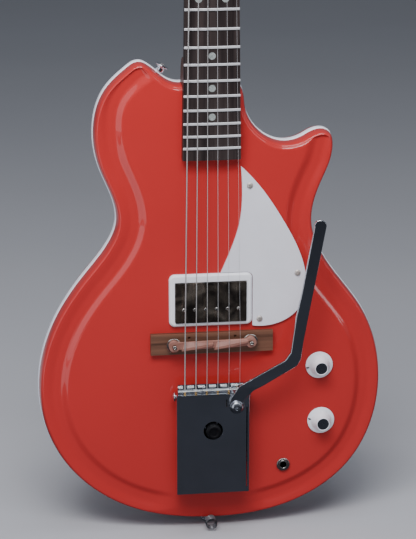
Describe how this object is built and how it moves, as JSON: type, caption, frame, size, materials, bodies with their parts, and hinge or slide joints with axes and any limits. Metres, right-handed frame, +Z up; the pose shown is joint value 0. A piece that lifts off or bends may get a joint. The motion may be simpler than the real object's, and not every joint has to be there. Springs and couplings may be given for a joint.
{
  "type": "electric guitar",
  "caption": "Single-cutaway electric guitar: moulded two-shell body, bolt-on neck, wooden bridge, vibrato tailpiece with swivelling arm.",
  "frame": {"origin": "seat of the tail strap button on the body's bottom edge, on the centre line and the seam plane", "axes": "+Z up the neck, -Y out of the face, +X towards the treble side, which is to the right seen from the front"},
  "size_m": [0.3309, 0.0745, 0.9849],
  "materials": {
    "red_shell": "moulded glass fibre, glossy red",
    "white_vinyl": "soft white vinyl gasket",
    "white_plastic": "white plastic, satin gloss",
    "black_plastic": "black plastic, glossy",
    "cream_plastic": "cream plastic, glossy",
    "chrome": "polished chrome plate",
    "nickel": "nickel plated steel",
    "spring_steel": "plain spring steel",
    "string_wire": "steel string wire",
    "aluminium": "turned aluminium",
    "brass": "brass",
    "copper_wire": "enamelled copper wire",
    "magnet": "bar magnet",
    "maple": "plain maple",
    "neck_wood": "stained and lacquered neck wood",
    "fingerboard_wood": "dark oiled fingerboard wood",
    "rosewood": "open grained rosewood",
    "saddle_wood": "lighter pinkish rosewood",
    "pearl": "pearly plastic",
    "bone": "polished bone",
    "wire_jacket": "cloth covered hook-up wire"
  },
  "bodies": {
    "body": {"body_front_shell": "red_shell", "body_back_shell": "red_shell", "body_binding": "white_vinyl", "center_block": "maple", "neck_plate": "chrome", "neck_screws": "chrome", "strap_buttons": "chrome", "pickguard": "white_plastic", "pickup_ring": "white_plastic", "pickup_cover": "chrome", "pickup_bobbin": "black_plastic", "pickup_coil": "copper_wire", "pickup_magnet": "magnet", "pickup_pole_screws": "nickel", "bridge_base": "rosewood", "bridge_studs": "nickel", "vibrato_base": "chrome", "vibrato_hinge_pin": "chrome", "vibrato_tension_stud": "nickel", "vibrato_spring": "spring_steel", "potentiometers": "nickel", "control_nuts": "nickel", "output_jack": "nickel", "wiring_harness": "wire_jacket", "neck": "neck_wood", "fretboard": "fingerboard_wood", "frets": "nickel", "inlay_dots": "pearl", "string_nut": "bone", "truss_rod": "spring_steel", "truss_rod_cover": "black_plastic", "small_wood_screws": "nickel", "tuner_housings": "nickel", "wound_strings": "string_wire", "plain_strings": "string_wire"},
    "vibrato": {"vibrato_plate": "chrome", "string_anchor_bar": "nickel", "string_ball_ends": "brass", "arm_screw": "nickel"},
    "vibrato_arm": {"vibrato_arm": "chrome"},
    "tension_knob": {"tension_knob": "black_plastic"},
    "bridge_saddle": {"bridge_saddle": "saddle_wood"},
    "bass_thumbwheel": {"thumbwheel_bass": "nickel"},
    "treble_thumbwheel": {"thumbwheel_treble": "nickel"},
    "volume_control": {"volume_knob": "white_plastic", "volume_shaft": "aluminium"},
    "tone_control": {"tone_knob": "white_plastic", "tone_shaft": "aluminium"},
    "tuner_post_1": {"tuner_post_1": "nickel"},
    "tuner_button_1": {"tuner_button_1": "cream_plastic"},
    "tuner_post_2": {"tuner_post_2": "nickel"},
    "tuner_button_2": {"tuner_button_2": "cream_plastic"},
    "tuner_post_3": {"tuner_post_3": "nickel"},
    "tuner_button_3": {"tuner_button_3": "cream_plastic"},
    "tuner_post_4": {"tuner_post_4": "nickel"},
    "tuner_button_4": {"tuner_button_4": "cream_plastic"},
    "tuner_post_5": {"tuner_post_5": "nickel"},
    "tuner_button_5": {"tuner_button_5": "cream_plastic"},
    "tuner_post_6": {"tuner_post_6": "nickel"},
    "tuner_button_6": {"tuner_button_6": "cream_plastic"}
  },
  "joints": [
    {"name": "vibrato_rock", "type": "hinge", "parent": "body", "child": "vibrato", "pos_m": [0, -0.029, 0.1325], "axis": [-1, 0, 0], "range_deg": [-2, 4], "stiffness_Nm_per_rad": 6, "deforming": ["vibrato_spring", "wound_strings", "plain_strings"]},
    {"name": "arm_swivel", "type": "hinge", "parent": "vibrato", "child": "vibrato_arm", "pos_m": [0.0219, -0.04, 0.1241], "axis": [0, -1, 0], "range_deg": [-75, 12]},
    {"name": "tension_knob_turn", "type": "hinge", "parent": "body", "child": "tension_knob", "pos_m": [0, -0.04, 0.1004], "axis": [0, -1, 0], "range_deg": [-360, 360]},
    {"name": "volume_turn", "type": "hinge", "parent": "body", "child": "volume_control", "pos_m": [0.1054, -0.02, 0.1554], "axis": [0, -1, 0], "range_deg": [-240, 60]},
    {"name": "tone_turn", "type": "hinge", "parent": "body", "child": "tone_control", "pos_m": [0.1079, -0.02, 0.0988], "axis": [0, -1, 0], "range_deg": [-240, 60]},
    {"name": "bass_thumbwheel_turn", "type": "hinge", "parent": "bridge_saddle", "child": "bass_thumbwheel", "pos_m": [-0.036, -0.028, 0.1837], "axis": [0, -1, 0], "range_deg": [-720, 0]},
    {"name": "saddle_height", "type": "slide", "parent": "body", "child": "bridge_saddle", "axis": [0, -1, 0], "range_m": [-0.0014, 0]},
    {"name": "treble_thumbwheel_turn", "type": "hinge", "parent": "bridge_saddle", "child": "treble_thumbwheel", "pos_m": [0.0372, -0.028, 0.185], "axis": [0, -1, 0], "range_deg": [-720, 0]},
    {"name": "tuner_button_1_turn", "type": "hinge", "parent": "body", "child": "tuner_button_1", "pos_m": [-0.024, 0.00046, 0.85793], "axis": [-1, 0, 0], "continuous": true},
    {"name": "tuner_post_1_turn", "type": "hinge", "parent": "body", "child": "tuner_post_1", "pos_m": [-0.024, -0.01971, 0.85238], "axis": [0, -0.9903, 0.1392], "continuous": true},
    {"name": "tuner_button_2_turn", "type": "hinge", "parent": "body", "child": "tuner_button_2", "pos_m": [-0.024, 0.00588, 0.89655], "axis": [-1, 0, 0], "continuous": true},
    {"name": "tuner_post_2_turn", "type": "hinge", "parent": "body", "child": "tuner_post_2", "pos_m": [-0.024, -0.01428, 0.891], "axis": [0, -0.9903, 0.1392], "continuous": true},
    {"name": "tuner_button_3_turn", "type": "hinge", "parent": "body", "child": "tuner_button_3", "pos_m": [-0.024, 0.01131, 0.93517], "axis": [-1, 0, 0], "continuous": true},
    {"name": "tuner_post_3_turn", "type": "hinge", "parent": "body", "child": "tuner_post_3", "pos_m": [-0.024, -0.00886, 0.92962], "axis": [0, -0.9903, 0.1392], "continuous": true},
    {"name": "tuner_button_4_turn", "type": "hinge", "parent": "body", "child": "tuner_button_4", "pos_m": [0.024, 0.01131, 0.93517], "axis": [1, 0, 0], "continuous": true},
    {"name": "tuner_post_4_turn", "type": "hinge", "parent": "body", "child": "tuner_post_4", "pos_m": [0.024, -0.00886, 0.92962], "axis": [0, -0.9903, 0.1392], "continuous": true},
    {"name": "tuner_button_5_turn", "type": "hinge", "parent": "body", "child": "tuner_button_5", "pos_m": [0.024, 0.00588, 0.89655], "axis": [1, 0, 0], "continuous": true},
    {"name": "tuner_post_5_turn", "type": "hinge", "parent": "body", "child": "tuner_post_5", "pos_m": [0.024, -0.01428, 0.891], "axis": [0, -0.9903, 0.1392], "continuous": true},
    {"name": "tuner_button_6_turn", "type": "hinge", "parent": "body", "child": "tuner_button_6", "pos_m": [0.024, 0.00046, 0.85793], "axis": [1, 0, 0], "continuous": true},
    {"name": "tuner_post_6_turn", "type": "hinge", "parent": "body", "child": "tuner_post_6", "pos_m": [0.024, -0.01971, 0.85238], "axis": [0, -0.9903, 0.1392], "continuous": true}
  ],
  "couplings": [
    {"joint": "bass_thumbwheel_turn", "follows": "saddle_height", "rad_per_m": 8975.9},
    {"joint": "treble_thumbwheel_turn", "follows": "saddle_height", "rad_per_m": 8975.9},
    {"joint": "tuner_post_1_turn", "follows": "tuner_button_1_turn", "ratio": 0.071429},
    {"joint": "tuner_post_2_turn", "follows": "tuner_button_2_turn", "ratio": 0.071429},
    {"joint": "tuner_post_3_turn", "follows": "tuner_button_3_turn", "ratio": 0.071429},
    {"joint": "tuner_post_4_turn", "follows": "tuner_button_4_turn", "ratio": -0.071429},
    {"joint": "tuner_post_5_turn", "follows": "tuner_button_5_turn", "ratio": -0.071429},
    {"joint": "tuner_post_6_turn", "follows": "tuner_button_6_turn", "ratio": -0.071429}
  ]
}
